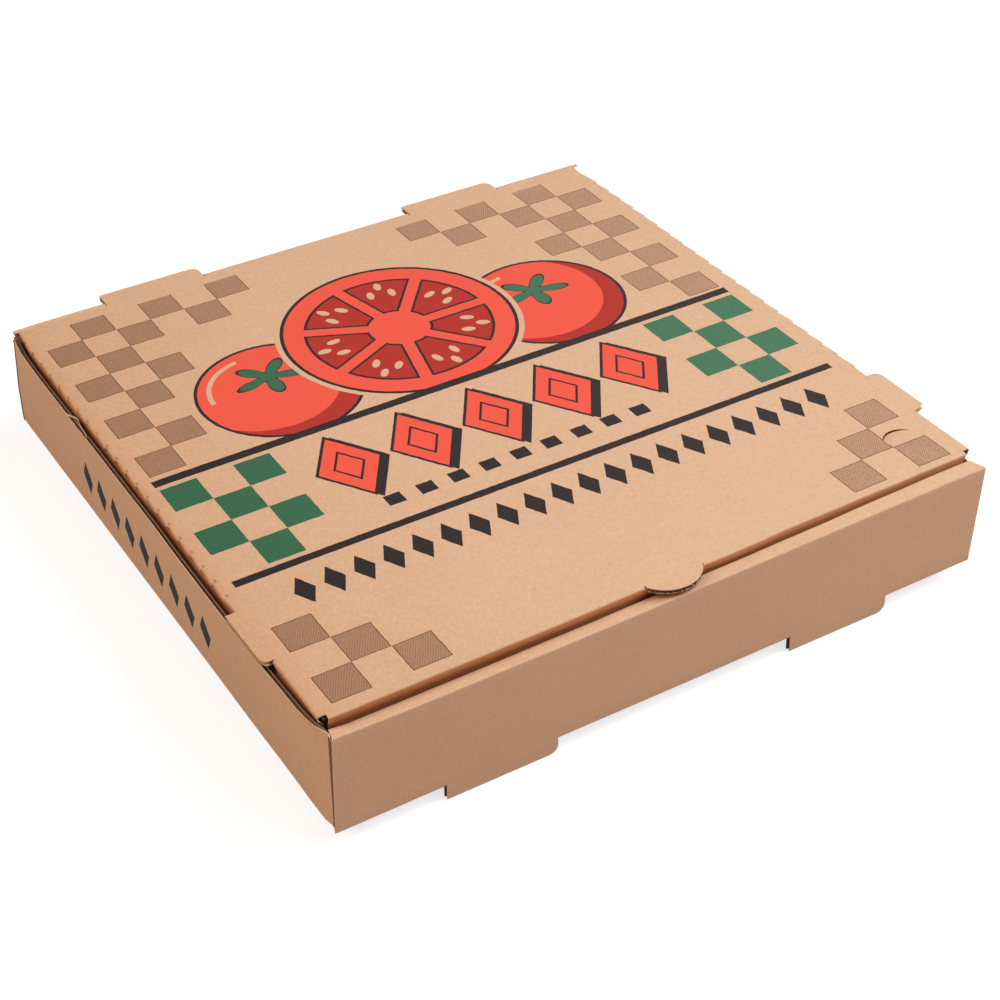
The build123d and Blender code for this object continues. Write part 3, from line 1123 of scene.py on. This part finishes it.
def cells(u, v, odd, blocks):
    """Check squares of a grid: every other cell inside some blocks of columns and rows"""
    column, row = u.floor(), v.floor()
    parity = (column + row + odd) % 2.0 < 0.5
    field = None
    for columns, rows in blocks:
        block = within(u, 0.0, columns) & within(v, rows[0], rows[1])
        field = block if field is None else field | block
    rim_u, rim_v = abs((u % 1.0) - 0.5), abs((v % 1.0) - 0.5)
    rim = (rim_u | rim_v) > 0.476
    return parity & field, rim


def lozenge_row(along, across, start, pitch, count, half_width, half_height):
    """How far inside a row of lozenges a point is: 1 in their middles and 0 on their sides"""
    step = (along - start) / pitch
    local = abs((step % 1.0) - 0.5) * pitch
    inside = 1.0 - local / half_width - abs(across) / half_height
    return inside * within(step, 0.0, float(count))


def whole_tomato(x, y, centre, radius):
    """Rim, shade, shine and stalk of a round tomato"""
    dx, dy = x - centre[0], y - centre[1]
    r = length(dx, dy)
    disc = r < radius
    rim = disc & (r > radius - 1.8)
    shade = disc & (length(dx + radius * 0.16, dy - radius * 0.16) > radius * 0.93)
    ring = length(dx + radius * 0.1, dy - radius * 0.1)
    shine = within(ring, radius * 0.66, radius * 0.72) & (dx < -radius * 0.2) & (dy > radius * 0.1)
    up = (dy - radius * 0.3) * 1.25
    star = (dx.math("ARCTAN2", dx, up) * 2.5).sine()
    reach = (star * star) * radius * 0.34 + radius * 0.1
    stalk_r = length(dx, up)
    return disc, rim, shade, shine, stalk_r < reach, stalk_r < reach + 1.6


def tomato_slice(x, y, centre, radius):
    """Rim, wall, chambers and seeds of a cut tomato"""
    dx, dy = x - centre[0], y - centre[1]
    r = length(dx, dy)
    disc = r < radius
    rim = disc & (r > radius - 2.0)
    turn = dx.math("ARCTAN2", dy, dx) / (2 * math.pi) * 7.0
    side = abs((turn % 1.0) - 0.5) * (2 * math.pi / 7.0) * r
    spoke = r * (math.pi / 7.0) - side
    chamber = (spoke > 3.2) & within(r, radius * 0.26, radius * 0.80)
    seeds = chamber & (length(side - 6.0, (r - radius * 0.58) * 0.55) < 2.1)
    seeds = seeds | (chamber & (length(side, (r - radius * 0.70) * 0.55) < 2.1))
    line = chamber & ((spoke < 4.6) | (r < radius * 0.285) | (r > radius * 0.775))
    return disc, rim, chamber, seeds, line


print("check squares", cell_width, "by", cell_depth, "mm")

# %% [markdown]
# The print is laid in layers, as on a press: first the hatched squares, then the inks in order. A layer is a
# mask, 1 inside its shapes, and an ink. The inks are a little paler to the right, partly thinner print and
# partly a painted sheen, and thin in small patches.

# %% Layers of the print
black_ink, pale_black = ink(34, 27, 27), ink(52, 43, 41)
green_ink, pale_green = ink(50, 96, 68), ink(74, 116, 88)
red_ink, deep_red = ink(238, 90, 72), ink(176, 52, 44)
line_ink = ink(90, 46, 26)


def print_over(colour, cover, layers):
    """Lays masks and their inks over a colour in order; bare kraft covers in full"""
    for mask, tone in layers:
        share = mask if tone is kraft_tone else mask * cover
        colour = blend_colour(share, colour, tone)
    return colour


def hatched_squares(colour, place, x, y, z, side, right):
    """Check squares of fine slanting lines in the four corners, rougher and paler to the right"""
    drop = (right > 0.5) * 1.7
    far, far_rim = cells((side - 10.0) / cell_width, (361.4 - drop - y) / cell_depth, 1.0,
                         ((6.0, (0.06, 2.0)), (3.0, (0.06, 5.0)), (2.0, (0.06, 8.0))))
    fore, fore_rim = cells((side - 9.5) / cell_width, (72.5 - y) / cell_depth, 0.0,
                           ((2.0, (0.0, 3.0)), (3.0, (2.0, 3.0))))
    fore = fore & (z > 60.0)
    ripple = (noise(place, 0.12, 2.0) - 0.5) * 1.2
    lines = ((y * 0.515 - x * 0.857 + ripple) * (2 * math.pi / 1.1)).sine() * (0.09 + right * 0.05)
    lines = lines + (noise(place, 1.3, 2.0, 0.8) - 0.5) * (0.35 + right * 0.45)
    # the squares pale to the right: partly thinner print, partly a painted sheen
    tint = (0.56 - right * 0.15 + lines) | ((far & far_rim) | (fore & fore_rim)) * 0.92
    return blend_colour((far | fore) * tint, colour, line_ink)


def tomatoes(x, y, black, green):
    """Layers of two whole tomatoes with a slice in front of them, all above the upper bar"""
    layers = []
    for centre_x in (98.0, 259.0):
        disc, rim, shade, shine, stalk, stalk_rim = whole_tomato(x, y, (centre_x, 243.0), 44.0)
        layers += [(disc, red_ink), (shade, deep_red), (shine, kraft_tone)]
        layers += [(stalk_rim & disc, black), (stalk & disc, green), (rim, black)]
    centre, radius = (box_width / 2, 262.0), 64.0
    disc, rim, chamber, seeds, line = tomato_slice(x, y, centre, radius)
    gap = length(x - centre[0], y - centre[1]) < radius + 3.0
    layers += [(gap, kraft_tone), (disc, red_ink), (chamber, deep_red)]
    layers += [(line, black), (seeds, kraft_tone), (rim, black)]
    above = y > 200.0
    return [(mask & above, tone) for mask, tone in layers]


def rows_and_bars(x, y, side, black):
    """Layers of the large lozenges and their shadows, the two bars, the short bars and the small lozenges"""
    shadow = lozenge_row(x - 2.6, y - 161.0, **large_row) > 0.0
    face = lozenge_row(x, y - 163.5, **large_row)
    bars = (abs(y - 199.75) < 2.75) | (abs(y - 109.1) < 2.4)
    step = (x - 97.5) / 17.55
    short_bars = within(step, 0.0, 9.0) & ((step % 1.0) < 9.0 / 17.55) & within(y, 123.5, 131.7)
    gems = lozenge_row(x, y - 88.5, **small_row) > 0.0
    return [
        (shadow | (face > 0.0), black),
        (face > 0.10, red_ink),
        (within(face, 0.52, 0.60), black),
        (bars & (side > 8.8), black),
        (short_bars | gems, black),
    ]


print("lozenges in the large row", large_row["count"], "and in the small row", small_row["count"])

# %% [markdown]
# Two materials carry the print. Under it the lid's kraft is painted darker and warmer at the left and down
# the folds as painted shade, and each nick of the left fold leaves a darker mark, browner cut fibre with
# painted shade of its lip. The tray's liner has painted shade of gaps at the ends of its walls.

# %% Printed lid and tray


def lid_painted_shade_and_nicks(colour, x, y, z):
    """Kraft with painted shade over the left side and down the folds, and the darker marks of the nicks"""
    # painted shade: the lid darker and warmer towards the left, and more so over its last 10 mm at the left
    # edge
    colour = tinted(colour, (-60.0 - x) / 110.0, (0.93, 0.90, 0.86))
    colour = tinted(colour, (-166.0 - x) / 10.0, (0.96, 0.91, 0.86))
    # painted shade down the folds and the top of the flaps, where the gap between lid and tray is dark; it
    # fades out lower down
    near_fold = (z - 48.0) / 8.0
    colour = tinted(colour, (67.3 - z) / 1.5 & near_fold, (0.94, 0.73, 0.58))
    colour = tinted(colour, (65.0 - z) / 3.0 & near_fold, (0.88, 0.80, 0.70))
    # nick marks: browner cut fibre, with painted shade of each tilted lip
    nick = ((y - nick_start) / nick_pitch + 0.08) % 1.0 < 0.18
    on_fold = within(x, -176.0, -174.9) & (y > nick_ends[0]) & (z > 65.2)
    return tinted(colour, nick & on_fold, (0.70, 0.55, 0.42))


def printed_kraft(name):
    """Liner of the lid with its print"""
    material, shader, place = new_paper(name)
    colour, fibre = kraft_colour(place, kraft_tone)
    raw_x, raw_y, z = axes(place)
    colour = lid_painted_shade_and_nicks(colour, raw_x, raw_y, z)
    wobble = (noise(place, 0.22, 2.0) - 0.5) * 0.7
    x, y = raw_x + box_width / 2 + wobble, raw_y - front_y + wobble
    side = box_width / 2 - abs(x - box_width / 2)
    # share from left to right; the inks pale with it, partly thinner print and partly a painted sheen
    right = raw_x / 340.0 + 0.5
    colour = hatched_squares(colour, place, x, y, z, side, right)
    black = blend_colour(right, black_ink, pale_black)
    green = blend_colour(right, green_ink, pale_green)
    checks, _ = cells((side - 9.5) / green_width, (194.0 - y) / green_depth, 0.0, ((3.0, (0.0, 4.0)),))
    layers = [(checks, green), *tomatoes(x, y, black, green), *rows_and_bars(x, y, side, black)]
    cover = 1.0 - (noise(place, 0.8, 3.0) > 0.66) * 0.12
    paper_finish(shader, place, print_over(colour, cover, layers), fibre)
    return material


def printed_wall(name):
    """Liner of the tray, with painted shade of gaps at the wall ends and a row of lozenges on the left wall
    """
    material, shader, place = new_paper(name)
    colour, fibre = kraft_colour(place, kraft_tone)
    x, y, z = axes(place)
    front, left_wall = y - front_y, x < -170.0
    # painted shade: dark bands at the front corners and the back left corner stand for shaded gaps and raw
    # edges
    slit = within(front, 0.8, 4.2) & (abs(x) > 175.9) & (z < 60.8)
    slit = slit | ((y + z * 0.055 > 182.9) & left_wall & (z < 62.0))
    colour = tinted(colour, slit, (0.28, 0.17, 0.11))
    row = lozenge_row(front, z - 32.1, **wall_row) > 0.0
    paper_finish(shader, place, blend_colour(row & left_wall, colour, black_ink), fibre)
    return material


printed_lid, printed_tray = printed_kraft("printed_lid"), printed_wall("printed_tray")
print("print uses", len(printed_lid.node_tree.nodes), "nodes")

# %% [markdown]
# Each piece has two papers, one for the sides of its sheet and one for the cut edges. The outer liners have
# pale edges and the papers behind them darker ones; the darkest, on the inner liners and the lid's flutes,
# are painted shade of the board's crevices. This draws the thin lines along the tops of the walls, and the
# flutes' own dark paper is partly painted shade as well.

# %% Give each piece its paper


def dress(piece, paper, edge):
    """The paper of a sheet's two sides, and that of its cut edges"""
    piece.data.materials.append(paper)
    piece.data.materials.append(edge)


for skins, outside in ((tray_skins, printed_tray), (lid_skins, printed_lid)):
    dress(skins["outer"], outside, pale_edge)
    dress(skins["inner"], inside_kraft, painted_shade_edge)
dress(tray_flutes, fluting_and_painted_shade, flute_edge)
dress(lid_flutes, fluting_and_painted_shade, painted_shade_edge)
dress(hinge_crease, outside_kraft, outside_kraft)
dress(torn_shred, torn_paper, torn_paper)
print("edges of", pale_edge.name, painted_shade_edge.name, flute_edge.name)

# %% [markdown]
# ## Floor and light
# Three softboxes light the box from the left, the right and the front, so the lid is even and each wall has
# its own light, while the gaps stay dark. The floor looks white to the camera and still takes the shadow.

# %% Floor
floor_half, floor_drop = 6, 0.0004


def background_rays(tree):
    """1 for the rays that show the background: to the camera, in a gloss or through glass"""
    path = tree.nodes.new("ShaderNodeLightPath")
    kinds = ("Camera", "Glossy", "Transmission")
    camera_ray, gloss, glass = (Flow(tree, path.outputs[f"Is {kind} Ray"]) for kind in kinds)
    return camera_ray | gloss | glass


bm = bmesh.new()
bmesh.ops.create_grid(bm, x_segments=1, y_segments=1, size=floor_half)
bmesh.ops.translate(bm, verts=bm.verts, vec=(0, 0, -floor_drop))
floor = link_piece("floor", bm)
floor_paint = bpy.data.materials.new("white_floor")
floor_paint.use_nodes = True
tree = floor_paint.node_tree
tree.nodes.remove(tree.nodes["Principled BSDF"])
seen = background_rays(tree)
dull = seen.node("ShaderNodeBsdfDiffuse", {}, {"Color": (0.50, 0.46, 0.43, 1)})
glow = seen.node("ShaderNodeEmission", {}, {"Color": (0.72, 0.74, 0.76, 1), "Strength": seen})
both = seen.node("ShaderNodeAddShader", {}, {0: dull, 1: glow})
tree.links.new(both.socket, tree.nodes["Material Output"].inputs["Surface"])
floor.data.materials.append(floor_paint)

# %% Light
scene.view_settings.view_transform = "Standard"
softbox_size = 1.2


def softbox(name, place, energy, colour):
    """A square area light that looks at the box"""
    light = bpy.data.lights.new(name, "AREA")
    light.shape = "SQUARE"
    light.size = softbox_size
    light.energy = energy
    light.color = colour
    lamp = bpy.data.objects.new(name, light)
    lamp.location = place
    lamp.rotation_euler = (-lamp.location).to_track_quat("-Z", "Y").to_euler()
    scene.collection.objects.link(lamp)


softbox("front_softbox", (0.75, -1.1, 1.5), 13.0, (1, 0.94, 0.91))
softbox("left_softbox", (-1.3, -0.05, 1.3), 15.2, (1, 0.97, 0.84))
softbox("right_softbox", (1.2, -0.4, 1.3), 24.6, (0.70, 0.92, 1))
world = bpy.data.worlds.new("studio")
scene.world = world
world.use_nodes = True
tree = world.node_tree
backdrop = tree.nodes["Background"]
seen = background_rays(tree)
studio = blend_colour(seen, (0.20, 0.10, 0.07, 1), (1, 1, 1, 1))
tree.links.new(studio.socket, backdrop.inputs["Color"])

# %% [markdown]
# ## Motion
# Each piece rides on the body that its solid belongs to. The crease is attached to neither body: it keeps
# its place, with its transform applied to its mesh.

# %% Ride
for piece in (*tray_skins.values(), tray_flutes, torn_shred):
    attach(piece, "tray")
for piece in (*lid_skins.values(), lid_flutes):
    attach(piece, "lid")
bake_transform(hinge_crease)
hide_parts("tray")
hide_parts("lid")
print("lid pieces", [piece.name for piece in (*lid_skins.values(), lid_flutes)])
